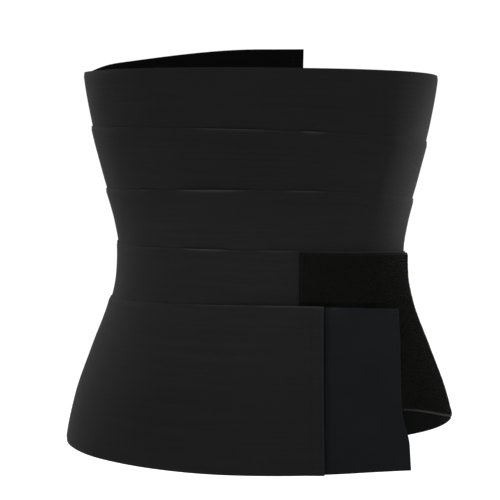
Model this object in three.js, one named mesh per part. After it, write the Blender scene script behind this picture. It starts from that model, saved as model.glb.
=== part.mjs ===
import * as THREE from 'three';

// A belly wrap as it is worn: one long elastic band wound five turns round the waist, each turn lower
// than the one before and lying over it, closed at the front by a hook tab on a patch of loop fabric.
// Sizes are millimetres. +Z is up, -Y is the front, +X is the side with the closure.
// The origin is in the middle of the waist, at its narrowest height.

const BAND_THICKNESS = 1.2;
const PATCH_THICKNESS = 1.6;
const TAB_THICKNESS = 1.5;
const LAYER_GAP = 0.5;
const LAYERS_AT_LIP = 0.5;

const BAND_COLUMNS_PER_TURN = 48;
const BAND_ROWS = 10;
const PATCH_COLUMNS = 20;
const PATCH_ROWS = 12;
const TAB_COLUMNS = 10;
const TAB_ROWS = 9;
const END_COLUMNS = 6;

const SECTION_EXPONENT = 2.2;
const START_TURN = 10 / BAND_COLUMNS_PER_TURN;
const LAST_FRONT_TURN = 4.75;
const FRONT_ANGLE = 1.5 * Math.PI;

// Lengths along the cloth, measured round the body from the middle of the front.
const PATCH_START = 30.2;
const PATCH_LENGTH = 209.5;
const TAB_START = 38;
const BAND_END = 48.8;
const TAB_END = 118.5;

// The hem is cut a little off square, shorter at the top, and the tab's outer edge bows in.
const HEM_LEAN = 2.2;
const TAB_BOW = 3;

const PATCH_TOP_MARGIN = 1.3;
const PATCH_BOTTOM_MARGIN_FRONT = 20;
const PATCH_BOTTOM_MARGIN_SIDE = 2.5;
const PATCH_TILT_FROM = 100;
const PATCH_TILT_TO = 205;
const TAB_TOP_MARGIN = 0.8;

// Below the patch the tab has nothing to grip, so its lower outer corner springs away from the body.
const SPRING_LIFT = 7.5;
const SPRING_FROM_LENGTH = 78;
const SPRING_FROM_SHARE = 0.62;
const SPRING_TO_SHARE = 0.85;

// The last turn rises off the turn below to pass over the patch and the tab.
const RISE_FROM_TURN = 4.62;
const RISE_TO_TURN = 4.775;

// Outside of the wrapped waist: half its width, and its depth in front of and behind the origin.
const BODY_SECTIONS = [
  { z: 182, halfWidth: 148, front: 106, back: 102 },
  { z: 143, halfWidth: 146, front: 104, back: 99 },
  { z: 100, halfWidth: 140.4, front: 101, back: 94 },
  { z: 60, halfWidth: 131.8, front: 96, back: 87 },
  { z: 20, halfWidth: 122.5, front: 90, back: 81 },
  { z: -2, halfWidth: 120, front: 88, back: 80 },
  { z: -24, halfWidth: 121.3, front: 88.5, back: 81.5 },
  { z: -45, halfWidth: 125.9, front: 91, back: 86 },
  { z: -85, halfWidth: 142.3, front: 100, back: 100 },
  { z: -125, halfWidth: 158.1, front: 111, back: 113 },
  { z: -165, halfWidth: 167.9, front: 118, back: 121 },
  { z: -200, halfWidth: 170.8, front: 121, back: 124 },
];

// Height of the band's top edge at each quarter turn, and how far down the band reaches from it.
// The band is narrower where it is stretched and keeps its full width where the stiff patch is sewn on.
const WINDING = [
  { turn: 0.0, top: 171, height: 131 },
  { turn: 0.25, top: 173, height: 131 },
  { turn: 0.4, top: 158.3, height: 131 },
  { turn: 0.5, top: 145, height: 131 },
  { turn: 0.75, top: 143, height: 131 },
  { turn: 1.0, top: 141.5, height: 131 },
  { turn: 1.25, top: 122, height: 131 },
  { turn: 1.5, top: 101, height: 131 },
  { turn: 1.75, top: 95.3, height: 131 },
  { turn: 2.0, top: 86, height: 131 },
  { turn: 2.25, top: 70, height: 131 },
  { turn: 2.5, top: 49, height: 130 },
  { turn: 2.75, top: 48.5, height: 131 },
  { turn: 3.0, top: 39, height: 129 },
  { turn: 3.25, top: 24, height: 129 },
  { turn: 3.5, top: 4.5, height: 132 },
  { turn: 3.75, top: 1, height: 149.5 },
  { turn: 4.0, top: -4.5, height: 139.3 },
  { turn: 4.25, top: -23, height: 129 },
  { turn: 4.5, top: -42, height: 120.4 },
  { turn: 4.75, top: -42, height: 130 },
  { turn: 5.0, top: -52.8, height: 119 },
];

const LAYER_PITCH = BAND_THICKNESS + LAYER_GAP;
const FIRST_FRONT = WINDING.find((row) => row.turn === 0.75);
const FOURTH_FRONT = WINDING.find((row) => row.turn === 3.75);
const TURN_DROP = (FIRST_FRONT.top - FOURTH_FRONT.top) / (FOURTH_FRONT.turn - FIRST_FRONT.turn);
const TAB_LIFT = PATCH_THICKNESS + LAYER_GAP;
const END_LIFT = TAB_LIFT + TAB_THICKNESS + LAYER_GAP;

// A smooth curve through the rows of a table, read at one value of its key column.
function readTable(rows, key, column, value) {
  const rising = rows[1][key] > rows[0][key];
  const isPast = (row) => (rising ? row[key] > value : row[key] < value);
  const past = rows.findIndex(isPast);
  const i = THREE.MathUtils.clamp(past - 1, 0, rows.length - 2);
  const slopeAfter = (k) => (rows[k + 1][column] - rows[k][column]) / (rows[k + 1][key] - rows[k][key]);
  const slopeAt = (k) => {
    const before = slopeAfter(Math.max(k - 1, 0));
    const after = slopeAfter(Math.min(k, rows.length - 2));
    return before * after > 0 ? (2 * before * after) / (before + after) : 0;
  };
  const span = rows[i + 1][key] - rows[i][key];
  const t = (value - rows[i][key]) / span;
  const start = rows[i][column];
  const end = rows[i + 1][column];
  const startSlope = slopeAt(i) * span;
  const endSlope = slopeAt(i + 1) * span;
  const cubic = 2 * (start - end) + startSlope + endSlope;
  const square = 3 * (end - start) - 2 * startSlope - endSlope;
  return start + t * (startSlope + t * (square + t * cubic));
}

function bodyPoint(angle, z, outward) {
  const cos = Math.cos(angle);
  const sin = Math.sin(angle);
  const side = sin < 0 ? 'front' : 'back';
  const halfWidth = readTable(BODY_SECTIONS, 'z', 'halfWidth', z) + outward;
  const depth = readTable(BODY_SECTIONS, 'z', side, z) + outward;
  const sum = Math.abs(cos) ** SECTION_EXPONENT + Math.abs(sin) ** SECTION_EXPONENT;
  const reach = sum ** (-1 / SECTION_EXPONENT);
  return new THREE.Vector3(halfWidth * reach * cos, depth * reach * sin, z);
}

// Angle reached by going a length of cloth round the body from the middle of the front.
function angleAtLength(length, z) {
  const step = THREE.MathUtils.degToRad(1);
  let angle = FRONT_ANGLE;
  let from = bodyPoint(angle, z, 0);
  let walked = 0;
  for (;;) {
    const to = bodyPoint(angle + step, z, 0);
    const stride = from.distanceTo(to);
    if (walked + stride >= length) {
      return angle + step * ((length - walked) / stride);
    }
    walked += stride;
    angle += step;
    from = to;
  }
}

const bandTop = (turn) => readTable(WINDING, 'turn', 'top', turn);
const bandBottom = (turn) => bandTop(turn) - readTable(WINDING, 'turn', 'height', turn);

// How far the band's inner face lies outside the body: one layer more for each turn wound,
// and less lower down, so that each turn leans over the edge of the one before.
function windingOffset(turn, z) {
  const turnsWound = turn - FIRST_FRONT.turn;
  const turnsFallen = (FIRST_FRONT.top - z) / TURN_DROP;
  return LAYER_PITCH * (turnsWound - turnsFallen + LAYERS_AT_LIP);
}

function endRise(turn) {
  return END_LIFT * THREE.MathUtils.smoothstep(turn, RISE_FROM_TURN, RISE_TO_TURN);
}

// A closed sheet: a thin ring of points round each column's section, joined along the length
// and capped at both ends. place gives the point of a column and a row on the inner or outer face.
function sheetGeometry(columns, rows, place) {
  const points = [];
  const ringSize = 2 * (rows + 1);
  for (let i = 0; i <= columns; i += 1) {
    for (let j = 0; j <= rows; j += 1) {
      points.push(place(i / columns, j / rows, true));
    }
    for (let j = rows; j >= 0; j -= 1) {
      points.push(place(i / columns, j / rows, false));
    }
  }
  const index = [];
  const quad = (a, b, c, d) => index.push(a, b, c, a, c, d);
  for (let i = 0; i < columns; i += 1) {
    for (let k = 0; k < ringSize; k += 1) {
      const here = i * ringSize;
      const next = (k + 1) % ringSize;
      quad(here + k, here + next, here + ringSize + next, here + ringSize + k);
    }
  }
  const last = columns * ringSize;
  for (let j = 0; j < rows; j += 1) {
    const opposite = ringSize - 1 - j;
    quad(j, opposite, opposite - 1, j + 1);
    quad(last + j, last + j + 1, last + opposite - 1, last + opposite);
  }
  const geometry = new THREE.BufferGeometry().setFromPoints(points);
  geometry.setIndex(index);
  return geometry;
}

// The turn reached at a length past the middle of the front, counted from a turn whose middle it is.
function turnAtLength(frontTurn, length, z) {
  return frontTurn + (angleAtLength(length, z) - FRONT_ANGLE) / (2 * Math.PI);
}

function bandGeometry() {
  const wound = Math.round((LAST_FRONT_TURN - START_TURN) * BAND_COLUMNS_PER_TURN);
  const columns = wound + END_COLUMNS;
  const place = (along, across, outer) => {
    const column = Math.round(along * columns);
    const end = BAND_END - HEM_LEAN * (1 - across);
    const length = (end * Math.max(column - wound, 0)) / END_COLUMNS;
    const turnAt = (z) => {
      if (column > wound) {
        return turnAtLength(LAST_FRONT_TURN, length, z);
      }
      return THREE.MathUtils.lerp(START_TURN, LAST_FRONT_TURN, column / wound);
    };
    const guideTurn = turnAt(bandTop(LAST_FRONT_TURN));
    const z = THREE.MathUtils.lerp(bandTop(guideTurn), bandBottom(guideTurn), across);
    const turn = turnAt(z);
    const face = outer ? BAND_THICKNESS : 0;
    return bodyPoint(2 * Math.PI * turn, z, windingOffset(turn, z) + endRise(turn) + face);
  };
  return sheetGeometry(columns, BAND_ROWS, place);
}

function patchGeometry() {
  const frontTurn = FOURTH_FRONT.turn;
  const lift = BAND_THICKNESS + LAYER_GAP;
  const place = (along, across, outer) => {
    const length = PATCH_START + along * PATCH_LENGTH;
    const guideTurn = turnAtLength(frontTurn, length, bandTop(frontTurn));
    const tilt = THREE.MathUtils.smoothstep(length, PATCH_TILT_FROM, PATCH_TILT_TO);
    const margin = THREE.MathUtils.lerp(PATCH_BOTTOM_MARGIN_FRONT, PATCH_BOTTOM_MARGIN_SIDE, tilt);
    const top = bandTop(guideTurn) - PATCH_TOP_MARGIN;
    const bottom = bandBottom(guideTurn) + margin;
    const z = THREE.MathUtils.lerp(top, bottom, across);
    const turn = turnAtLength(frontTurn, length, z);
    const face = outer ? PATCH_THICKNESS : 0;
    return bodyPoint(2 * Math.PI * turn, z, windingOffset(turn, z) + lift + face);
  };
  return sheetGeometry(PATCH_COLUMNS, PATCH_ROWS, place);
}

// How far the tab stands off, at a length along it and a share of the way down it.
function cornerSpring(length, across) {
  const outwards = Math.max(length - SPRING_FROM_LENGTH, 0) / (TAB_END - SPRING_FROM_LENGTH);
  const free = THREE.MathUtils.smoothstep(across, SPRING_FROM_SHARE, SPRING_TO_SHARE);
  return SPRING_LIFT * outwards ** 2 * free;
}

function tabGeometry() {
  const place = (along, across, outer) => {
    const end = TAB_END - TAB_BOW * Math.sin(Math.PI * across);
    const length = THREE.MathUtils.lerp(TAB_START, end, along);
    const guideTurn = turnAtLength(LAST_FRONT_TURN, length, bandTop(LAST_FRONT_TURN));
    const top = bandTop(guideTurn) - TAB_TOP_MARGIN;
    const z = THREE.MathUtils.lerp(top, bandBottom(guideTurn), across);
    const turn = turnAtLength(LAST_FRONT_TURN, length, z);
    const face = outer ? TAB_THICKNESS : 0;
    const lift = TAB_LIFT + cornerSpring(length, across);
    return bodyPoint(2 * Math.PI * turn, z, windingOffset(turn, z) + lift + face);
  };
  return sheetGeometry(TAB_COLUMNS, TAB_ROWS, place);
}

function piece(name, geometry, color, roughness) {
  const mesh = new THREE.Mesh(geometry, new THREE.MeshStandardMaterial({ color, roughness }));
  mesh.name = name;
  return mesh;
}

const wrap = new THREE.Group();
wrap.add(piece('wrap_band', bandGeometry(), 0x1d1d1e, 0.85));
wrap.add(piece('loop_patch', patchGeometry(), 0x0c0c0c, 1));
wrap.add(piece('hook_tab', tabGeometry(), 0x15171b, 0.6));

export default wrap;
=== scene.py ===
import math

import bpy
import numpy as np
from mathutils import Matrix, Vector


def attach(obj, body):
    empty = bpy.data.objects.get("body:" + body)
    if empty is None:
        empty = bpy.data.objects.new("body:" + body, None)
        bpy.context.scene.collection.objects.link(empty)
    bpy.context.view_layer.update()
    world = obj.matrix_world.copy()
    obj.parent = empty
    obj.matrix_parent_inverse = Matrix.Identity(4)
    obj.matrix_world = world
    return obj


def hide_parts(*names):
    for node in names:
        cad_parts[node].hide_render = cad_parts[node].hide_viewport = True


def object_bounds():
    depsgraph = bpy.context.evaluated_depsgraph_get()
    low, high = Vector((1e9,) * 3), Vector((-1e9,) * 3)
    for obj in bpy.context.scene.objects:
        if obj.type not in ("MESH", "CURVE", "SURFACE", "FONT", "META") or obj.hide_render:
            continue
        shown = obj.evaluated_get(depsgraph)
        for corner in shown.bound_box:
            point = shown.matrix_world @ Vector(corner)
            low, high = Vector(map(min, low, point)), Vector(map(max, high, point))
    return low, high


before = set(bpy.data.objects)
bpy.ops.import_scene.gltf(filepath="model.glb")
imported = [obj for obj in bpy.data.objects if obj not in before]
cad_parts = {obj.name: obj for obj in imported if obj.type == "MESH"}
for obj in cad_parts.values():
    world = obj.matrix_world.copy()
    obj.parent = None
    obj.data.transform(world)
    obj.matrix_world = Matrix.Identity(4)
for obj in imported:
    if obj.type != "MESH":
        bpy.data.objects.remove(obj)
cad_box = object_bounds()

# The viewpoint: a long lens straight in front of the wrap and a little above the waist.
# It is tipped down slightly, and the wrap stands a touch right of the middle of the frame.
FRAME_PIXELS = 500
FOCAL_PIXELS = 1480
AXIS_PIXEL = 260.6
HORIZON_PIXEL = 165
LENS_DISTANCE = 1.25
LENS_HEIGHT = 0.068
tip = math.atan((FRAME_PIXELS / 2 - HORIZON_PIXEL) / FOCAL_PIXELS)
bpy.ops.object.select_all(action="DESELECT")
bpy.ops.object.camera_add(
    location=(0, -LENS_DISTANCE, LENS_HEIGHT), rotation=(math.pi / 2 - tip, 0, 0)
)
viewpoint = bpy.context.object
viewpoint.name = "viewpoint"
viewpoint.data.lens = viewpoint.data.sensor_width * FOCAL_PIXELS / FRAME_PIXELS
viewpoint.data.shift_x = (FRAME_PIXELS / 2 - AXIS_PIXEL) / FRAME_PIXELS
bpy.context.scene.camera = viewpoint

# The band: one long strip of black knitted elastic with thin selvedges and a hem at each end.
# It is wound round the waist under tension, each turn lower than the last and lying over it,
# so that only a few fingers' breadth of every turn but the last one shows.
MM = 0.001
BAND_THICKNESS = 1.2
LAYER_GAP = 0.5
LAYER_PITCH = BAND_THICKNESS + LAYER_GAP
LAYERS_AT_LIP = 0.5
START_TURN = 10 / 48
LAST_FRONT_TURN = 4.75
FRONT_ANGLE = 1.5 * math.pi
BAND_END = 48.8
HEM_LEAN = 2.2
SECTION_EXPONENT = 2.2

# Height, half width, depth in front and depth behind of the wrapped waist, in millimetres.
WAIST_FORM = np.array([
    (-200, 170.8, 121, 124),
    (-165, 167.9, 118, 121),
    (-125, 158.1, 111, 113),
    (-85, 142.3, 100, 100),
    (-45, 125.9, 91, 86),
    (-24, 121.3, 88.5, 81.5),
    (-2, 120, 88, 80),
    (20, 122.5, 90, 81),
    (60, 131.8, 96, 87),
    (100, 140.4, 101, 94),
    (143, 146, 104, 99),
    (182, 148, 106, 102),
])

# Turns wound, height of the band's top edge there, and how far down the band reaches from it.
WINDING = np.array([
    (0.0, 171, 131),
    (0.25, 173, 131),
    (0.4, 158.3, 131),
    (0.5, 145, 131),
    (0.75, 143, 131),
    (1.0, 141.5, 131),
    (1.25, 122, 131),
    (1.5, 101, 131),
    (1.75, 95.3, 131),
    (2.0, 86, 131),
    (2.25, 70, 131),
    (2.5, 49, 130),
    (2.75, 48.5, 131),
    (3.0, 39, 129),
    (3.25, 24, 129),
    (3.5, 4.5, 132),
    (3.75, 1, 149.5),
    (4.0, -4.5, 139.3),
    (4.25, -23, 129),
    (4.5, -42, 120.4),
    (4.75, -42, 130),
    (5.0, -52.8, 119),
])
FIRST_FRONT_TURN, FIRST_FRONT_TOP = 0.75, 143
FOURTH_FRONT_TURN, FOURTH_FRONT_TOP = 3.75, 1
LAST_FRONT_TOP = -42
TURN_DROP = (FIRST_FRONT_TOP - FOURTH_FRONT_TOP) / (FOURTH_FRONT_TURN - FIRST_FRONT_TURN)


def smooth_curve(keys, values, at):
    """A curve through a table's values that never overshoots them."""
    chord = np.diff(values) / np.diff(keys)
    before = np.concatenate([chord[:1], chord])
    after = np.concatenate([chord, chord[-1:]])
    level = before * after <= 0
    slope = np.where(level, 0, 2 * before * after / np.where(level, 1, before + after))
    i = np.clip(np.searchsorted(keys, at, side="right") - 1, 0, len(keys) - 2)
    span = keys[i + 1] - keys[i]
    t = (at - keys[i]) / span
    rise = values[i + 1] - values[i]
    square = 3 * rise - (2 * slope[i] + slope[i + 1]) * span
    cubic = (slope[i] + slope[i + 1]) * span - 2 * rise
    return values[i] + t * (slope[i] * span + t * (square + t * cubic))


def ease(value, low, high):
    """0 below low, 1 above high, and smooth between them."""
    t = np.clip((value - low) / (high - low), 0, 1)
    return t * t * (3 - 2 * t)


def part_way(start, end, share):
    return start + (end - start) * share


def close_at_edges(share):
    """Even shares from 0 to 1, drawn closer together towards both ends."""
    return 0.5 - 0.5 * np.cos(math.pi * share)


def on_waist(angle, z, outward):
    """Points round the waist at an angle and height, some way outside it, in millimetres."""
    cos, sin = np.cos(angle), np.sin(angle)
    half_width = smooth_curve(WAIST_FORM[:, 0], WAIST_FORM[:, 1], z) + outward
    front = smooth_curve(WAIST_FORM[:, 0], WAIST_FORM[:, 2], z) + outward
    back = smooth_curve(WAIST_FORM[:, 0], WAIST_FORM[:, 3], z) + outward
    total = np.abs(cos) ** SECTION_EXPONENT + np.abs(sin) ** SECTION_EXPONENT
    reach = total ** (-1 / SECTION_EXPONENT)
    x = half_width * reach * cos
    y = np.where(sin < 0, front, back) * reach * sin
    return np.stack(np.broadcast_arrays(x, y, z), axis=-1)


WALK_DEGREES = 200


def turn_at_length(front_turn, length, z):
    """Turn reached by going a length of cloth round from the middle of the front."""
    angle = FRONT_ANGLE + np.radians(np.arange(WALK_DEGREES))
    ring = on_waist(angle[None, :], z[:, None], 0)
    stride = np.linalg.norm(np.diff(ring, axis=1), axis=-1)
    walked = np.concatenate([np.zeros((len(z), 1)), np.cumsum(stride, axis=1)], axis=1)
    reached = np.array([np.interp(*pair, angle) for pair in zip(length, walked)])
    return front_turn + (reached - FRONT_ANGLE) / (2 * math.pi)


def guide_turn(front_turn, front_top, length):
    """Turn reached at a length when it is measured along the height of the top edge in front."""
    return turn_at_length(front_turn, length, np.full(len(length), float(front_top)))


def band_top(turn):
    return smooth_curve(WINDING[:, 0], WINDING[:, 1], turn)


def band_height(turn):
    return smooth_curve(WINDING[:, 0], WINDING[:, 2], turn)


def band_bottom(turn):
    return band_top(turn) - band_height(turn)


def wound_offset(turn, z):
    """How far a turn lies outside the waist: one layer for each turn, leaning in lower down."""
    fallen = (FIRST_FRONT_TOP - z) / TURN_DROP
    return LAYER_PITCH * (turn - FIRST_FRONT_TURN - fallen + LAYERS_AT_LIP)


# The slight unevenness of a soft waist: depth, waves round it, height per radian, and phase.
SOFT_WAVES = [(0.30, 3, 41, 0), (0.22, 5, -27, 1.3), (0.12, 11, 19, 0.4), (0.08, 17, -13, 0)]


def soft_give(turn, z):
    """How far the waist stands out or gives at a place, the same for every layer there."""
    angle = 2 * math.pi * turn
    return sum(
        depth * np.sin(waves * angle + z / run + phase) for depth, waves, run, phase in SOFT_WAVES
    )


# The last turn rises off the turn below to pass over the loop patch and the hook tab.
RISE_FROM_TURN, RISE_TO_TURN = 4.62, 4.775
PATCH_THICKNESS = 1.6
TAB_THICKNESS = 1.5
TAB_LIFT = PATCH_THICKNESS + LAYER_GAP
END_LIFT = TAB_LIFT + TAB_THICKNESS + LAYER_GAP

# Where the top edge stands off the turn below: turn, half length in turns, and how much.
LOOSE_EDGES = [
    (1.727, 0.034, 0.75),
    (1.796, 0.010, 0.95),
    (2.632, 0.009, 0.50),
    (2.703, 0.031, 1.00),
    (2.792, 0.018, 0.70),
    (3.632, 0.009, 0.40),
    (3.692, 0.024, 1.00),
    (3.768, 0.018, 0.50),
    (3.865, 0.055, 0.50),
    (4.712, 0.030, 0.55),
    (4.785, 0.046, 0.70),
]
LOOSE_BEHIND, LOOSE_BEHIND_FROM = 0.4, (-0.55, 0)
LOOSE_DEPTH = 6.0
LOOSE_LIFT = 1.2
SNUG_LIFT = -0.45
EDGE_LEAN = 1.2
LEAN_FULL_FROM, LEAN_FULL_TO = 4.70, 4.74


def looseness(turn):
    """How loose the top edge is at a turn: as listed in front, and evenly so behind."""
    loose = LOOSE_BEHIND * ease(np.sin(2 * math.pi * turn), *LOOSE_BEHIND_FROM)
    for middle, half, most in LOOSE_EDGES:
        loose = np.maximum(loose, most * np.exp(-((turn - middle) / half) ** 4))
    return loose


def edge_lift(turn, below_top):
    """How far the cloth near its top edge stands off: snug on the turn below, or loose.
    Where the last turn rises, its edge leans in to the turn below."""
    leaning = ease(turn, RISE_FROM_TURN, LEAN_FULL_FROM)
    leaning = leaning * (1 - ease(turn, LEAN_FULL_TO, RISE_TO_TURN))
    lift = SNUG_LIFT - EDGE_LEAN * leaning + LOOSE_LIFT * looseness(turn)
    return lift * np.exp(-((below_top / LOOSE_DEPTH) ** 2))


def band_point(turn, z, below_top, outward=0):
    """A place on the band's inner face, or some way outside it."""
    rise = END_LIFT * ease(turn, RISE_FROM_TURN, RISE_TO_TURN)
    lift = edge_lift(turn, below_top) + soft_give(turn, z)
    return on_waist(2 * math.pi * turn, z, wound_offset(turn, z) + rise + lift + outward)


# The hem at the outer end is firm, and stands a little off the tab that it is sewn to.
HEM_LIFT = 1.8
HEM_LIFT_LENGTH = 7


def hem_lift(from_end):
    return HEM_LIFT * np.exp(-((from_end / HEM_LIFT_LENGTH) ** 2))


def end_place(length, across):
    """Turn, height and depth below the top edge, near the outer end of the band.
    The hem leans, so the band is a little shorter at the top."""
    length = length * (1 - HEM_LEAN / BAND_END * (1 - across))
    guide = guide_turn(LAST_FRONT_TURN, LAST_FRONT_TOP, length)
    below_top = band_height(guide) * across
    z = band_top(guide) - below_top
    return turn_at_length(LAST_FRONT_TURN, length, z), z, below_top


def cloth_grid(name, columns, rows):
    """A flat piece of cloth as a grid, with each point's column and its row from the top."""
    bpy.ops.object.select_all(action="DESELECT")
    bpy.ops.mesh.primitive_grid_add(x_subdivisions=columns, y_subdivisions=rows, size=2)
    cloth = bpy.context.object
    cloth.name = cloth.data.name = name
    flat = np.zeros(3 * len(cloth.data.vertices))
    cloth.data.vertices.foreach_get("co", flat)
    flat = flat.reshape(-1, 3)
    column = np.rint((flat[:, 0] + 1) / 2 * columns)
    row = np.rint((1 - flat[:, 1]) / 2 * rows)
    return cloth, column, row


def lay_cloth(cloth, points, along, across):
    """Puts each point of a flat piece where it lies, and keeps its flat place in metres as UVs."""
    mesh = cloth.data
    mesh.vertices.foreach_set("co", (points * MM).ravel())
    corner = np.zeros(len(mesh.loops), dtype=int)
    mesh.loops.foreach_get("vertex_index", corner)
    flat = np.stack([along, across], axis=-1)[corner] * MM
    mesh.uv_layers.active.name = "cloth"
    mesh.uv_layers.active.data.foreach_set("uv", flat.ravel())
    mesh.update()


def mark(piece, name, values):
    """Keeps one number for each point of a piece, for its material to read."""
    marks = piece.data.attributes.new(name, "FLOAT", "POINT")
    marks.data.foreach_set("value", np.asarray(values, dtype=np.float32))


CUT_EDGE_SEGMENTS = 3
CUT_EDGE_ANGLE = math.radians(50)
SMOOTH_ANGLE = math.radians(60)


def thicken(cloth, thickness, share, rim):
    """Gives cloth its thickness outwards, a share of it at each point, and rounds its cut edges.
    The outer face and the edges keep the first finish, and the inner face takes the second."""
    group = cloth.vertex_groups.new(name="thickness")
    share = np.round(share, 3)
    for value in np.unique(share):
        group.add(np.nonzero(share == value)[0].tolist(), float(value), "REPLACE")
    bpy.ops.object.select_all(action="DESELECT")
    cloth.select_set(True)
    bpy.context.view_layer.objects.active = cloth
    solid = cloth.modifiers.new("thickness", "SOLIDIFY")
    solid.thickness = thickness * MM
    solid.offset = 1
    solid.vertex_group = group.name
    solid.material_offset = 1
    bpy.ops.object.modifier_apply(modifier=solid.name)
    edge = cloth.modifiers.new("cut_edge", "BEVEL")
    edge.width = rim * MM
    edge.segments = CUT_EDGE_SEGMENTS
    edge.limit_method = "ANGLE"
    edge.angle_limit = CUT_EDGE_ANGLE
    bpy.ops.object.modifier_apply(modifier=edge.name)
    bpy.ops.object.shade_smooth_by_angle(angle=SMOOTH_ANGLE)


def add_node(material, kind, settings=(), **inputs):
    """A shader node with its settings, and its inputs given as values or as sockets to link."""
    node = material.node_tree.nodes.new(kind)
    for name, value in dict(settings).items():
        setattr(node, name, value)
    for name, value in inputs.items():
        if isinstance(value, bpy.types.NodeSocket):
            material.node_tree.links.new(value, node.inputs[name])
        else:
            node.inputs[name].default_value = value
    return node


def cloth_place(material):
    return add_node(material, "ShaderNodeUVMap", {"uv_map": "cloth"}).outputs["UV"]


def read_mark(material, name):
    return add_node(material, "ShaderNodeAttribute", {"attribute_name": name}).outputs["Fac"]


def maths(material, operation, first, second):
    """One sum of two shader values, either of which may be a plain number."""
    node = material.node_tree.nodes.new("ShaderNodeMath")
    node.operation = operation
    for socket, value in zip(node.inputs, (first, second)):
        if isinstance(value, bpy.types.NodeSocket):
            material.node_tree.links.new(value, socket)
        else:
            socket.default_value = value
    return node.outputs[0]


def weighted(material, first, *others):
    """Several shader values added up, each given with its weight."""
    total = maths(material, "MULTIPLY", *first)
    for other in others:
        total = maths(material, "ADD", total, maths(material, "MULTIPLY", *other))
    return total


# At scale 1, Blender's wave texture repeats after this length.
WAVE_REPEAT = math.pi / 10


def stripes(material, flat, pitch, direction, distortion):
    """Even ridges across a piece of cloth, one every pitch millimetres."""
    return add_node(
        material, "ShaderNodeTexWave", {"wave_type": "BANDS", "bands_direction": direction},
        Vector=flat, Scale=WAVE_REPEAT / (pitch * MM), Distortion=distortion,
    ).outputs["Fac"]


def mottle(material, place, scale, detail, roughness):
    """Soft irregular patches, more to the metre at a larger scale."""
    return add_node(
        material, "ShaderNodeTexNoise", {},
        Vector=place, Scale=scale, Detail=detail, Roughness=roughness,
    ).outputs["Fac"]


def colours(material, tone, stops):
    """A run of colours along a tone, given as place and colour."""
    ramp = add_node(material, "ShaderNodeValToRGB", {}, Fac=tone)
    elements = ramp.color_ramp.elements
    elements[0].position, elements[1].position = stops[0][0], stops[-1][0]
    for place, _ in stops[1:-1]:
        elements.new(place)
    for element, (_, colour) in zip(elements, stops):
        element.color = (*colour, 1)
    return ramp.outputs["Color"]


def between(material, tone, low, high):
    """A tone from 0 to 1 stretched to run from low to high."""
    node = add_node(material, "ShaderNodeMapRange", {}, Value=tone)
    node.inputs["To Min"].default_value = low
    node.inputs["To Max"].default_value = high
    return node.outputs["Result"]


def new_finish(name, gloss, sheen=0.0):
    """A new finish, with the plain values of its shader."""
    material = bpy.data.materials.new(name)
    material.use_nodes = True
    shader = material.node_tree.nodes["Principled BSDF"]
    shader.inputs["Specular IOR Level"].default_value = gloss
    shader.inputs["Sheen Weight"].default_value = sheen
    return material


def dress(material, colour, roughness, height, strength, depth):
    """Links a finish's colour, its roughness and the relief of its threads to the shader."""
    shader = material.node_tree.nodes["Principled BSDF"]
    link = material.node_tree.links.new
    link(colour, shader.inputs["Base Color"])
    link(roughness, shader.inputs["Roughness"])
    bump = add_node(
        material, "ShaderNodeBump", {}, Height=height, Strength=strength, Distance=depth * MM
    )
    link(bump.outputs["Normal"], shader.inputs["Normal"])


YARN_PITCH, COURSE_PITCH = 1.1, 0.7
COURSE_FLOOR = 0.6
STREAK_SCALE = (8, 380, 1)


def knitted(name, stops, gloss, sheen):
    """Knitted elastic: fine ribs along the band, crossed by courses, with uneven stretch marks."""
    material = new_finish(name, gloss, sheen)
    flat = cloth_place(material)
    ribs = stripes(material, flat, YARN_PITCH, "Y", distortion=0.6)
    courses = stripes(material, flat, COURSE_PITCH, "X", distortion=0.8)
    knit = maths(material, "MULTIPLY", ribs, maths(material, "ADD", courses, COURSE_FLOOR))
    drawn = add_node(material, "ShaderNodeMapping", {}, Vector=flat, Scale=STREAK_SCALE)
    streaks = mottle(material, drawn.outputs[0], scale=1.0, detail=3.0, roughness=0.6)
    clouds = mottle(material, flat, scale=14.0, detail=4.0, roughness=0.55)
    # The mark read here is painted light: a painted highlight along the band's top edges and hem,
    # and a painted highlight and a painted shadow on the tab.
    painted_light = read_mark(material, "painted_light")
    tone = weighted(material, (streaks, 0.3), (clouds, 0.3), (knit, 0.10), (painted_light, 0.6))
    dress(
        material, colours(material, tone, stops), between(material, clouds, 0.72, 0.9),
        height=weighted(material, (knit, 1.0), (streaks, 0.5)), strength=0.5, depth=0.25,
    )
    return material


COLUMNS_PER_TURN = 144
WOUND_COLUMNS = round((LAST_FRONT_TURN - START_TURN) * COLUMNS_PER_TURN)
END_COLUMNS = 18
BAND_ROWS = 30
BAND_CUT_WIDTH = 146
band, column, row = cloth_grid("band_cloth", WOUND_COLUMNS + END_COLUMNS, BAND_ROWS)
turn = START_TURN + column / COLUMNS_PER_TURN
down = close_at_edges(row / BAND_ROWS)
below_top = band_height(turn) * down
z = band_top(turn) - below_top
at_end = column > WOUND_COLUMNS
end_length = BAND_END * np.sin(math.pi / 2 * (column[at_end] - WOUND_COLUMNS) / END_COLUMNS)
turn[at_end], z[at_end], below_top[at_end] = end_place(end_length, down[at_end])
from_end = np.full(len(turn), np.inf)
from_end[at_end] = BAND_END - end_length
points = band_point(turn, z, below_top, hem_lift(from_end))

middle_row = row == BAND_ROWS // 2
in_order = np.argsort(column[middle_row])
middle_line = points[middle_row][in_order]
run = np.concatenate([[0], np.cumsum(np.linalg.norm(np.diff(middle_line, axis=0), axis=1))])
along = run[column.astype(int)]
lay_cloth(band, points, along, BAND_CUT_WIDTH * (1 - down))
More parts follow.
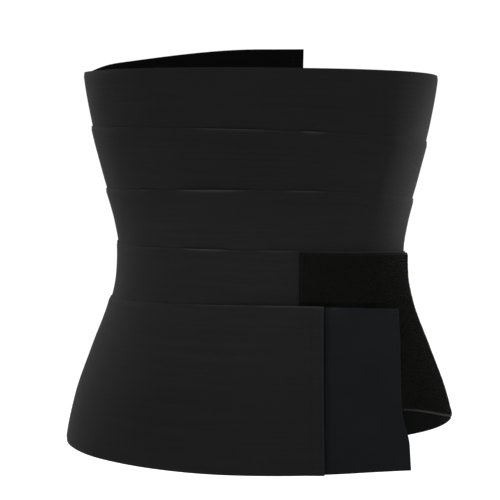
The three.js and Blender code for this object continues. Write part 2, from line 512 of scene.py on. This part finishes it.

# A painted highlight lightens the yarns along an edge that stands off, and along the fold of the end
# hem.
HIGHLIGHT_WIDTH = 1.3
SNUG_EDGE_HIGHLIGHT = 0.12
HEM_HIGHLIGHT_TOP, HEM_HIGHLIGHT_BOTTOM = 0.35, 0.10
to_end = run[-1] - along
top_edge_highlight = np.exp(-((below_top / HIGHLIGHT_WIDTH) ** 2)) * part_way(SNUG_EDGE_HIGHLIGHT, 1, looseness(turn))
hem_fold_highlight = np.exp(-((to_end / HIGHLIGHT_WIDTH) ** 2))
hem_fold_highlight = hem_fold_highlight * part_way(HEM_HIGHLIGHT_TOP, HEM_HIGHLIGHT_BOTTOM, down)
mark(band, "painted_light", np.maximum(top_edge_highlight, hem_fold_highlight))

OUTSIDE_BLACK = [
    (0.22, (0.0070, 0.0070, 0.0071)),
    (0.50, (0.0103, 0.0103, 0.0105)),
    (1.00, (0.0270, 0.0270, 0.0273)),
]
# The inner face is a darker copy of the same knit: painted shade for the inside of the wrap.
INSIDE_SHADE_BLACK = [(0.22, (0.0022, 0.0022, 0.0023)), (0.60, (0.0036, 0.0036, 0.0037))]
band.data.materials.append(knitted("band_outside", OUTSIDE_BLACK, gloss=0.035, sheen=0.01))
band.data.materials.append(knitted("band_inside_painted_shade", INSIDE_SHADE_BLACK, gloss=0.02, sheen=0.0))

# The band thins towards its selvedges, most where they are pressed, and is double at the hems.
HEM_THICKNESS = 1.5
HEM_WIDTH = 12
SELVEDGE_WIDTH = 4
PRESSED_EDGE, LOOSE_EDGE = 0.3, 1.0
from_edge = BAND_CUT_WIDTH * np.minimum(down, 1 - down)
selvedge = part_way(PRESSED_EDGE, LOOSE_EDGE, looseness(turn))
thickness = part_way(selvedge, BAND_THICKNESS, ease(from_edge, 0, SELVEDGE_WIDTH))
thickness = np.where(np.minimum(along, to_end) < HEM_WIDTH, HEM_THICKNESS, thickness)
thicken(band, HEM_THICKNESS, thickness / HEM_THICKNESS, rim=0.4)
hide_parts("wrap_band")
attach(band, "root")

# The hem stitching: one lock stitch of black thread, copied along two rows across each end of the
# band. The outer hem is sewn through the hook tab under it.
STITCH_LENGTH, STITCH_WIDTH, STITCH_HEIGHT = 2.5, 0.6, 0.5
STITCH_PITCH = 3.2
STITCH_DIPS = [(1.0, 0.10), (1.2, 0.12)]
STITCH_STEP = 0.2
HEM_ROWS = (3, 9.5)
HEM_TOP, HEM_BOTTOM = 0.02, 0.98


def model_stitch():
    """A short bead of thread that dips into the cloth at both ends."""
    bpy.ops.object.select_all(action="DESELECT")
    bpy.ops.mesh.primitive_uv_sphere_add(
        segments=6, ring_count=6, radius=0.5, rotation=(0, math.pi / 2, 0)
    )
    bpy.ops.object.transform_apply(location=False, rotation=True, scale=False)
    stitch = bpy.context.object
    stitch.scale = (STITCH_LENGTH * MM, STITCH_WIDTH * MM, STITCH_HEIGHT * MM)
    bpy.ops.object.transform_apply(location=False, rotation=False, scale=True)
    for beyond, drop in STITCH_DIPS:
        bpy.ops.object.mode_set(mode="EDIT")
        bpy.ops.mesh.select_mode(type="VERT")
        bpy.ops.mesh.select_all(action="DESELECT")
        bpy.ops.object.mode_set(mode="OBJECT")
        for point in stitch.data.vertices:
            point.select = abs(point.co.x) > beyond * MM
        bpy.ops.object.mode_set(mode="EDIT")
        bpy.ops.transform.translate(value=(0, 0, -drop * MM))
        bpy.ops.object.mode_set(mode="OBJECT")
    return stitch


def copies(name, master, places, headings, outwards, sizes):
    """One piece of many copies of a small master, each turned along its heading, foot inwards."""
    count = len(master.data.vertices)
    shape = np.zeros(3 * count)
    master.data.vertices.foreach_get("co", shape)
    shape = shape.reshape(1, count, 3) * np.reshape(sizes, (-1, 1, 1))
    sideways = np.cross(outwards, headings)
    spread = shape[..., 0:1] * headings[:, None] + shape[..., 1:2] * sideways[:, None]
    spread = spread + shape[..., 2:3] * outwards[:, None] + places[:, None] * MM
    faces = [tuple(face.vertices) for face in master.data.polygons]
    every = [tuple(i + count * k for i in face) for k in range(len(places)) for face in faces]
    mesh = bpy.data.meshes.new(name)
    mesh.from_pydata(spread.reshape(-1, 3).tolist(), [], every)
    mesh.update()
    piece = bpy.data.objects.new(name, mesh)
    bpy.context.collection.objects.link(piece)
    bpy.ops.object.select_all(action="DESELECT")
    piece.select_set(True)
    bpy.context.view_layer.objects.active = piece
    bpy.ops.object.shade_smooth()
    return piece


def unit(vectors):
    return vectors / np.linalg.norm(vectors, axis=-1, keepdims=True)


def flat_on(headings, outwards):
    """Headings laid flat on the cloth, square to its outward direction."""
    return unit(headings - outwards * (headings * outwards).sum(axis=1, keepdims=True))


def sewn_row(surface, start, end):
    """Place, heading and outward direction of the stitches between two places on a cloth."""
    start, end = np.array(start, float), np.array(end, float)
    ends = surface(*np.stack([start, (start + end) / 2, end]).T, 0)
    count = max(round(np.linalg.norm(np.diff(ends, axis=0), axis=1).sum() / STITCH_PITCH), 1)
    share = ((np.arange(count) + 0.5) / count)[:, None]
    here = part_way(start, end, share)
    ahead = here + (end - start) * STITCH_STEP / count
    places = surface(*here.T, 0)
    outwards = unit(surface(*here.T, 1) - places)
    return places, flat_on(surface(*ahead.T, 0) - places, outwards), outwards


def own_place(material):
    return add_node(material, "ShaderNodeTexCoord").outputs["Object"]


THREAD_BLACK = [(0.3, (0.0045, 0.0045, 0.0045)), (0.7, (0.0085, 0.0085, 0.0085))]
thread = new_finish("thread", gloss=0.05)
plies = mottle(thread, own_place(thread), scale=1400.0, detail=2.0, roughness=0.5)
dress(
    thread, colours(thread, plies, THREAD_BLACK), between(thread, plies, 0.45, 0.7),
    height=plies, strength=0.4, depth=0.1,
)


def sew(name, surface, rows):
    """A piece of stitching: rows of copies of the stitch on one cloth."""
    sewn = [np.concatenate(parts) for parts in zip(*(sewn_row(surface, *row) for row in rows))]
    stitch = model_stitch()
    piece = copies(name, stitch, *sewn, np.ones(len(sewn[0])))
    bpy.data.objects.remove(stitch)
    piece.data.materials.append(thread)
    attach(piece, "root")
    return piece


def outer_hem(from_end, across, outward):
    place = end_place(BAND_END - from_end, across)
    return band_point(*place, hem_lift(from_end) + HEM_THICKNESS + outward)


def inner_hem(from_start, across, outward):
    step = 0.01
    angle = 2 * math.pi * np.array([START_TURN, START_TURN + step])
    beside = on_waist(angle, band_top(angle / (2 * math.pi)), 0)
    turn = START_TURN + step * from_start / np.linalg.norm(beside[1] - beside[0])
    below_top = band_height(turn) * across
    return band_point(turn, band_top(turn) - below_top, below_top, HEM_THICKNESS + outward)


def inner_hem_inside(from_start, across, inward):
    return inner_hem(from_start, across, -HEM_THICKNESS - inward)


hem_rows = [[(inset, HEM_TOP), (inset, HEM_BOTTOM)] for inset in HEM_ROWS]
outer_stitches = sew("outer_hem_stitches", outer_hem, hem_rows)
inner_stitches = sew("inner_hem_stitches", inner_hem, hem_rows)
inside_stitches = sew("inner_hem_stitches_inside", inner_hem_inside, hem_rows)

# The loop patch: a rectangle of black brushed loop fabric sewn flat on the outer face of the fourth
# turn, from beside the middle of the front round the right side. It does not stretch, so the band
# under it keeps its full width. Its edges are a narrow flat weave without pile, sewn all round.
PATCH_START = 30.2
PATCH_LENGTH = 209.5
PATCH_WIDTH = 135
PATCH_TOP_MARGIN = 1.3
PATCH_BOTTOM_MARGIN_FRONT, PATCH_BOTTOM_MARGIN_SIDE = 20, 2.5
PATCH_TILT_FROM, PATCH_TILT_TO = 100, 205
PATCH_GROUND = 0.9
TAB_START = 38
TAB_END = 118.5


def patch_place(along, across):
    """Turn and height of a place on the patch, along and across it from 0 to 1."""
    length = PATCH_START + PATCH_LENGTH * along
    guide = guide_turn(FOURTH_FRONT_TURN, FOURTH_FRONT_TOP, length)
    tilt = ease(length, PATCH_TILT_FROM, PATCH_TILT_TO)
    top = band_top(guide) - PATCH_TOP_MARGIN
    margin = part_way(PATCH_BOTTOM_MARGIN_FRONT, PATCH_BOTTOM_MARGIN_SIDE, tilt)
    height = part_way(top, band_bottom(guide) + margin, across)
    return turn_at_length(FOURTH_FRONT_TURN, length, height), height


def patch_point(along, across, outward):
    turn, height = patch_place(along, across)
    below_top = band_top(turn) - height
    return band_point(turn, height, below_top, BAND_THICKNESS + LAYER_GAP + outward)


PATCH_COLUMNS, PATCH_ROWS = 110, 120
patch, column, row = cloth_grid("patch_cloth", PATCH_COLUMNS, PATCH_ROWS)
along, across = close_at_edges(column / PATCH_COLUMNS), close_at_edges(row / PATCH_ROWS)
lay_cloth(patch, patch_point(along, across, 0), PATCH_LENGTH * along, PATCH_WIDTH * (1 - across))

# The lower edge shows as a pale line, a painted highlight that is paler round the side. The other
# edges are as dark as the pile, and a painted shadow makes the cloth darkest just above the band's
# end and the tab.
FLAT_EDGE, FLAT_END = 2.2, 3.0
FLAT_FROM = 0.7
LOWER_EDGE_HIGHLIGHT_FRONT, LOWER_EDGE_HIGHLIGHT_SIDE = 0.75, 1.10
LOWER_EDGE_TURNS_PALER = (0.40, 0.55)
OTHER_EDGES = -0.08
ABOVE_TAB_SHADOW = 0.3
SHADOW_ABOVE_TAB_AT, SHADOW_ABOVE_TAB_WIDTH = 1.2, 1.4
to_edge = PATCH_WIDTH * np.minimum(across, 1 - across) / FLAT_EDGE
to_end = PATCH_LENGTH * np.minimum(along, 1 - along) / FLAT_END
to_bottom = PATCH_WIDTH * (1 - across) / FLAT_EDGE
bare = 1 - ease(np.minimum(to_edge, to_end), FLAT_FROM, 1.0)
turn, z = patch_place(along, across)
above_tab = z - band_top(turn + 1)
under_tab = PATCH_START + PATCH_LENGTH * along < TAB_END
# A painted shadow on the patch just above the band's end and the tab.
painted_shadow_above_tab = under_tab * np.exp(-((above_tab - SHADOW_ABOVE_TAB_AT) / SHADOW_ABOVE_TAB_WIDTH) ** 2)
lower_edge_highlight = part_way(LOWER_EDGE_HIGHLIGHT_FRONT, LOWER_EDGE_HIGHLIGHT_SIDE, ease(along, *LOWER_EDGE_TURNS_PALER))
flat_weave_and_painted_light = bare * np.where(to_bottom < 1, lower_edge_highlight, OTHER_EDGES)
mark(patch, "flat_weave_and_painted_light", flat_weave_and_painted_light - ABOVE_TAB_SHADOW * painted_shadow_above_tab)


def woven(material, flat, pitch):
    """A plain weave: threads both ways, one every pitch millimetres."""
    across_threads = stripes(material, flat, pitch, "X", distortion=0.4)
    return maths(
        material, "MAXIMUM", across_threads, stripes(material, flat, pitch, "Y", distortion=0.4)
    )


GROUND_BLACK = [
    (0.0, (0.0012, 0.0012, 0.0011)),
    (0.2, (0.0038, 0.0038, 0.0035)),
    (0.4, (0.0046, 0.0046, 0.0042)),
    (0.7, (0.0125, 0.0125, 0.0120)),
    (0.9, (0.0300, 0.0300, 0.0295)),
]
ground = new_finish("patch_ground", gloss=0.02)
flat = cloth_place(ground)
weave = woven(ground, flat, pitch=0.6)
nap = mottle(ground, flat, scale=40.0, detail=3.0, roughness=0.6)
# The mark adds the flat weave's tone at the edges, a painted highlight on the lower edge and a
# painted shadow above the tab.
tone = weighted(ground, (nap, 0.3), (read_mark(ground, "flat_weave_and_painted_light"), 0.6), (weave, 0.1))
dress(
    ground, colours(ground, tone, GROUND_BLACK), between(ground, nap, 0.8, 0.95),
    height=weave, strength=0.6, depth=0.2,
)
patch.data.materials.append(ground)
thicken(patch, PATCH_GROUND, np.ones(len(along)), rim=0.3)
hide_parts("loop_patch")
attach(patch, "root")

# The pile: thousands of small nylon loops standing up from the patch, all copies of one half ring.
# They lean every way, and there are none where the band's end and the tab press the pile flat.
LOOP_PITCH = 1.65
LOOP_RADIUS, LOOP_THREAD = 0.52, 0.13
LOOP_SINK = 0.08
LOOP_LEAN = 0.28
LOOP_SIZES = (0.8, 1.25)
BARE_ABOVE_TAB = 2.2
UNDER_TAB_END = 3
FRONT_END_HIGHLIGHT = 0.9
FRONT_HIGHLIGHT_AT, FRONT_HIGHLIGHT_WIDTH = 10, 8


def cut_ring(radius, thread, around, about, slope):
    """A ring of thread standing upright, with all of it below a sloping plane cut away."""
    bpy.ops.object.select_all(action="DESELECT")
    bpy.ops.mesh.primitive_torus_add(
        major_segments=around, minor_segments=about, rotation=(math.pi / 2, 0, 0),
        major_radius=radius * MM, minor_radius=thread * MM,
    )
    ring = bpy.context.object
    bpy.ops.object.transform_apply(location=False, rotation=True, scale=False)
    bpy.ops.object.mode_set(mode="EDIT")
    bpy.ops.mesh.select_all(action="SELECT")
    bpy.ops.mesh.bisect(
        plane_co=(0, 0, 0), plane_no=(slope, 0, 1), use_fill=True, clear_inner=True
    )
    bpy.ops.object.mode_set(mode="OBJECT")
    return ring


chance = np.random.default_rng(7)
rows = np.arange(FLAT_EDGE, PATCH_WIDTH - FLAT_EDGE, LOOP_PITCH)
stations = np.arange(FLAT_END, PATCH_LENGTH - FLAT_END, LOOP_PITCH)
station, height = [grid.ravel() for grid in np.meshgrid(stations, rows)]
station = station + chance.uniform(-0.5, 0.5, len(station)) * LOOP_PITCH
height = height + chance.uniform(-0.5, 0.5, len(height)) * LOOP_PITCH
along = np.clip(station, FLAT_END, PATCH_LENGTH - FLAT_END) / PATCH_LENGTH
across = np.clip(height, FLAT_EDGE, PATCH_WIDTH - FLAT_EDGE) / PATCH_WIDTH
turn, z = patch_place(along, across)
beside_tab = PATCH_START + PATCH_LENGTH * along > TAB_END - UNDER_TAB_END
free = beside_tab | (z > band_top(turn + 1) + BARE_ABOVE_TAB)
along, across = along[free], across[free]
places = patch_point(along, across, PATCH_GROUND - LOOP_SINK)
outwards = unit(patch_point(along, across, 1) - patch_point(along, across, 0))
leaning = unit(outwards + chance.normal(0, LOOP_LEAN, places.shape))
headings = unit(np.cross(leaning, unit(chance.normal(0, 1, places.shape))))
sizes = chance.uniform(*LOOP_SIZES, len(places))
loop = cut_ring(LOOP_RADIUS, LOOP_THREAD, around=8, about=3, slope=0)
pile = copies("patch_pile", loop, places, headings, leaning, sizes)

# The loops beside the patch's front end are painted lighter, a painted highlight.
front_end_highlight = FRONT_END_HIGHLIGHT * np.exp(-((PATCH_LENGTH * along - FRONT_HIGHLIGHT_AT) / FRONT_HIGHLIGHT_WIDTH) ** 2)
tuft_and_highlight = chance.uniform(0, 1, len(places)) + front_end_highlight
mark(pile, "tuft_and_highlight", np.repeat(tuft_and_highlight, len(loop.data.vertices)))
bpy.data.objects.remove(loop)

PILE_BLACK = [
    (0.20, (0.0043, 0.0043, 0.0039)),
    (0.70, (0.0063, 0.0063, 0.0058)),
    (0.95, (0.0095, 0.0095, 0.0090)),
]
nylon = new_finish("pile_nylon", gloss=0.0)
lint = mottle(nylon, own_place(nylon), scale=60.0, detail=3.0, roughness=0.6)
# Each loop's tone varies at random, and the painted highlight lightens the loops at the front end.
tone = weighted(nylon, (read_mark(nylon, "tuft_and_highlight"), 0.5), (lint, 0.5))
dress(
    nylon, colours(nylon, tone, PILE_BLACK), between(nylon, lint, 0.6, 0.85),
    height=lint, strength=0.2, depth=0.1,
)
pile.data.materials.append(nylon)
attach(pile, "root")

# The patch's stitching: the same black thread in one row close to the edge, all round the patch.
# It goes through the patch, its backing and the band.
SEAM_INSET = 1.5


def patch_face(along, across, outward):
    return patch_point(along, across, PATCH_GROUND + outward)


near, far = SEAM_INSET / PATCH_LENGTH, 1 - SEAM_INSET / PATCH_LENGTH
top, bottom = SEAM_INSET / PATCH_WIDTH, 1 - SEAM_INSET / PATCH_WIDTH
patch_stitches = sew(
    "patch_stitches", patch_face,
    [
        [(near, top), (0.5, top)],
        [(0.5, top), (far, top)],
        [(near, bottom), (0.5, bottom)],
        [(0.5, bottom), (far, bottom)],
        [(near, top), (near, bottom)],
        [(far, top), (far, bottom)],
    ],
)

# The backing: a thin black cloth between the patch and the band. It shows as a dark margin below the
# patch, down to the band's lower edge.
BACKING_THICKNESS = 0.3
BACKING_LIFT = 0.1
BACKING_INSET = 1.5
BACKING_TOP_MARGIN, BACKING_BOTTOM_MARGIN = 2, 0.8
BACKING_LENGTH = PATCH_LENGTH - 2 * BACKING_INSET
BACKING_WIDTH = 144


def backing_point(along, across):
    length = PATCH_START + BACKING_INSET + BACKING_LENGTH * along
    guide = guide_turn(FOURTH_FRONT_TURN, FOURTH_FRONT_TOP, length)
    low_guide = turn_at_length(FOURTH_FRONT_TURN, length, band_bottom(guide))
    top = band_top(guide) - BACKING_TOP_MARGIN
    height = part_way(top, band_bottom(low_guide) + BACKING_BOTTOM_MARGIN, across)
    turn = turn_at_length(FOURTH_FRONT_TURN, length, height)
    return band_point(turn, height, band_top(turn) - height, BAND_THICKNESS + BACKING_LIFT)


BACKING_COLUMNS, BACKING_ROWS = 70, 40
backing, column, row = cloth_grid("patch_backing", BACKING_COLUMNS, BACKING_ROWS)
along, across = column / BACKING_COLUMNS, row / BACKING_ROWS
lay_cloth(
    backing, backing_point(along, across), BACKING_LENGTH * along, BACKING_WIDTH * (1 - across)
)

BACKING_BLACK = [(0.25, (0.0018, 0.0018, 0.0017)), (0.65, (0.0038, 0.0038, 0.0036))]
lining = new_finish("backing_cloth", gloss=0.02)
flat = cloth_place(lining)
weave = woven(lining, flat, pitch=0.6)
nap = mottle(lining, flat, scale=50.0, detail=3.0, roughness=0.6)
tone = weighted(lining, (nap, 0.7), (weave, 0.15))
dress(
    lining, colours(lining, tone, BACKING_BLACK), between(lining, nap, 0.8, 0.95),
    height=weave, strength=0.4, depth=0.15,
)
backing.data.materials.append(lining)
thicken(backing, BACKING_THICKNESS, np.ones(len(along)), rim=0.1)
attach(backing, "root")

# The hook tab: a straight-cut piece of blue-black hook tape sewn under the band's outer end.
# Its woven back faces out and its hooks face in, pressed onto the loop patch. Its outer edge bows in
# a little, and below the patch it has nothing to grip, so its lower corner springs off the body.
TAB_TOP_MARGIN = 0.8
TAB_WIDTH = 129
TAB_LENGTH = TAB_END - TAB_START
TAB_BOW = 3
SPRING_LIFT = 7.5
SPRING_FROM_LENGTH = 78
SPRING_FROM_SHARE, SPRING_TO_SHARE = 0.62, 0.85


def tab_point(along, across, outward):
    """A place on the tab's inner face, along and across it from 0 to 1."""
    length = TAB_START + (TAB_LENGTH - TAB_BOW * np.sin(math.pi * across)) * along
    guide = guide_turn(LAST_FRONT_TURN, LAST_FRONT_TOP, length)
    height = part_way(band_top(guide) - TAB_TOP_MARGIN, band_bottom(guide), across)
    turn = turn_at_length(LAST_FRONT_TURN, length, height)
    reach = np.maximum(length - SPRING_FROM_LENGTH, 0) / (TAB_END - SPRING_FROM_LENGTH)
    spring = SPRING_LIFT * reach ** 2 * ease(across, SPRING_FROM_SHARE, SPRING_TO_SHARE)
    lift = TAB_LIFT + spring + soft_give(turn, height)
    return on_waist(2 * math.pi * turn, height, wound_offset(turn, height) + lift + outward)


TAB_COLUMNS, TAB_ROWS = 48, 64
tab, column, row = cloth_grid("tab_tape", TAB_COLUMNS, TAB_ROWS)
along, across = close_at_edges(column / TAB_COLUMNS), close_at_edges(row / TAB_ROWS)
lay_cloth(tab, tab_point(along, across, 0), TAB_LENGTH * along, TAB_WIDTH * (1 - across))

# A painted highlight lightens the tape along its top edge, most near the hem, and a painted shadow
# makes it darkest beside the hem.
CORNER_HIGHLIGHT, TOP_HIGHLIGHT, HEM_SHADOW = 0.4, 0.2, 0.45
CORNER_FROM_HEM, CORNER_LENGTH, CORNER_DEPTH = 9, 8, 5
TOP_HIGHLIGHT_DEPTH = 1.2
HEM_SHADOW_LENGTH = 4
from_hem = TAB_START + TAB_LENGTH * along - BAND_END
from_top = TAB_WIDTH * across
to_corner = (from_hem - CORNER_FROM_HEM) / CORNER_LENGTH
corner_highlight = CORNER_HIGHLIGHT * np.exp(-to_corner ** 2 - (from_top / CORNER_DEPTH) ** 2)
tape_top_highlight = TOP_HIGHLIGHT * np.exp(-(from_top / TOP_HIGHLIGHT_DEPTH) ** 2)
painted_hem_shadow = HEM_SHADOW * np.exp(-(from_hem / HEM_SHADOW_LENGTH) ** 2)
mark(tab, "painted_light", np.maximum(corner_highlight, tape_top_highlight) - painted_hem_shadow)

TAPE_BLACK = [
    (0.00, (0.0026, 0.0029, 0.0032)),
    (0.20, (0.0055, 0.0062, 0.0068)),
    (0.50, (0.0074, 0.0083, 0.0090)),
    (1.00, (0.0190, 0.0200, 0.0208)),
]
tape = new_finish("tab_weave", gloss=0.02)
flat = cloth_place(tape)
weave = woven(tape, flat, pitch=0.7)
clouds = mottle(tape, flat, scale=22.0, detail=4.0, roughness=0.6)
# The tape's mark adds the painted highlight and the painted shadow beside the hem.
tone = weighted(tape, (clouds, 0.5), (weave, 0.1), (read_mark(tape, "painted_light"), 0.6))
dress(
    tape, colours(tape, tone, TAPE_BLACK), between(tape, clouds, 0.6, 0.8),
    height=weave, strength=0.4, depth=0.2,
)
tab.data.materials.append(tape)
thicken(tab, TAB_THICKNESS, np.ones(len(along)), rim=0.35)
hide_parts("hook_tab")
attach(tab, "root")

# The tab's stitching: one row of the same thread along its three free edges, which keeps the tape
# from fraying. It starts just past the band's hem.
TAB_SEAM_INSET = 3
PAST_HEM = 2


def tab_face(along, across, outward):
    return tab_point(along, across, TAB_THICKNESS + outward)


seam_start = (BAND_END - TAB_START + PAST_HEM) / TAB_LENGTH
seam_end = 1 - TAB_SEAM_INSET / TAB_LENGTH
seam_top, seam_bottom = TAB_SEAM_INSET / TAB_WIDTH, 1 - TAB_SEAM_INSET / TAB_WIDTH
tab_stitches = sew(
    "tab_stitches", tab_face,
    [
        [(seam_start, seam_top), (seam_end, seam_top)],
        [(seam_end, seam_top), (seam_end, seam_bottom)],
        [(seam_end, seam_bottom), (seam_start, seam_bottom)],
    ],
)

# The hooks: short bent nylon prongs on the tab's inner face, copies of one hook, in close rows.
# Those above are buried in the pile, so only the rows below the patch are there to be seen.
HOOK_PITCH = 2.0
HOOK_RADIUS, HOOK_THREAD = 0.42, 0.12
HOOK_SLOPE = 0.45
HOOK_SINK = 0.1
HOOK_STEP = 0.01
HOOKS_FROM_SHARE = 0.72
NEAR_MARGIN, FAR_MARGIN, LOW_MARGIN = 3, 2, 2.5
stations = np.arange(NEAR_MARGIN, TAB_LENGTH - FAR_MARGIN, HOOK_PITCH)
rows = np.arange(HOOKS_FROM_SHARE * TAB_WIDTH, TAB_WIDTH - LOW_MARGIN, HOOK_PITCH)
station, height = [grid.ravel() for grid in np.meshgrid(stations, rows)]
along, across = station / TAB_LENGTH, height / TAB_WIDTH
places = tab_point(along, across, HOOK_SINK)
outwards = unit(tab_point(along, across, 0) - tab_point(along, across, 1))
headings = flat_on(tab_point(along + HOOK_STEP, across, HOOK_SINK) - places, outwards)
hook = cut_ring(HOOK_RADIUS, HOOK_THREAD, around=10, about=4, slope=HOOK_SLOPE)
hooks = copies("tab_hooks", hook, places, headings, outwards, np.ones(len(places)))
bpy.data.objects.remove(hook)

HOOK_BLACK = [(0.3, (0.005, 0.006, 0.008)), (0.7, (0.009, 0.010, 0.013))]
prongs = new_finish("hook_nylon", gloss=0.3)
grain = mottle(prongs, own_place(prongs), scale=700.0, detail=2.0, roughness=0.5)
dress(
    prongs, colours(prongs, grain, HOOK_BLACK), between(prongs, grain, 0.3, 0.5),
    height=grain, strength=0.1, depth=0.05,
)
hooks.data.materials.append(prongs)
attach(hooks, "root")

# The studio: a wide pale floor well below the wrap, white all round, and a soft sky above. A tall
# light behind on the left and a narrow beam behind on the right bring up the edges of the black
# cloth, and a weak beam from the front left lifts the waist.
FLOOR_DROP = 0.30
FLOOR_SIZE = 14
FLOOR_PAINT = (0.93, 0.93, 0.93, 1)
FLOOR_ROUGHNESS = 0.9
ROOM_WHITE, ROOM_STRENGTH = (1, 1, 1, 1), 1.03
SKY_STRENGTH, SKY_ANGLE = 0.6, 90
bpy.ops.object.select_all(action="DESELECT")
bpy.ops.mesh.primitive_plane_add(size=FLOOR_SIZE, location=(0, 0, cad_box[0][2] - FLOOR_DROP))
floor = bpy.context.object
floor.name = "floor"
floor_paint = new_finish("floor_paint", gloss=0.1)
shader = floor_paint.node_tree.nodes["Principled BSDF"]
shader.inputs["Base Color"].default_value = FLOOR_PAINT
shader.inputs["Roughness"].default_value = FLOOR_ROUGHNESS
floor.data.materials.append(floor_paint)

world = bpy.data.worlds.new("white_room")
world.use_nodes = True
room = world.node_tree.nodes["Background"]
room.inputs["Color"].default_value = ROOM_WHITE
room.inputs["Strength"].default_value = ROOM_STRENGTH
bpy.context.scene.world = world
bpy.context.scene.view_settings.view_transform = "Standard"


def soft_light(name, place, aim, size, spread, watts):
    """A rectangular studio light of a width and height, aimed at a point."""
    bpy.ops.object.light_add(type="AREA", location=place)
    light = bpy.context.object
    light.name = name
    light.data.shape = "RECTANGLE"
    light.data.size, light.data.size_y = size
    light.data.spread = math.radians(spread)
    light.data.energy = watts
    x, y, z = np.array(aim) - np.array(place)
    light.rotation_euler = (math.atan2(math.hypot(x, y), -z), 0, math.atan2(-x, y))
    light.visible_camera = False


soft_light("left_light", (-1.2, 0.9, 1.0), aim=(0, 0, -0.08), size=(0.5, 1.0), spread=180, watts=22)
soft_light(
    "right_light", (0.82, 0.64, 0.072), aim=(0, 0, 0.072), size=(0.5, 0.14), spread=9, watts=0.2
)
soft_light(
    "front_light", (-0.8, -1.6, 0.1), aim=(0, 0, -0.03), size=(0.4, 0.1), spread=8, watts=0.055
)
bpy.ops.object.light_add(type="SUN", location=(0, 0, 2))
sky = bpy.context.object
sky.name = "ceiling_light"
sky.data.energy = SKY_STRENGTH
sky.data.angle = math.radians(SKY_ANGLE)
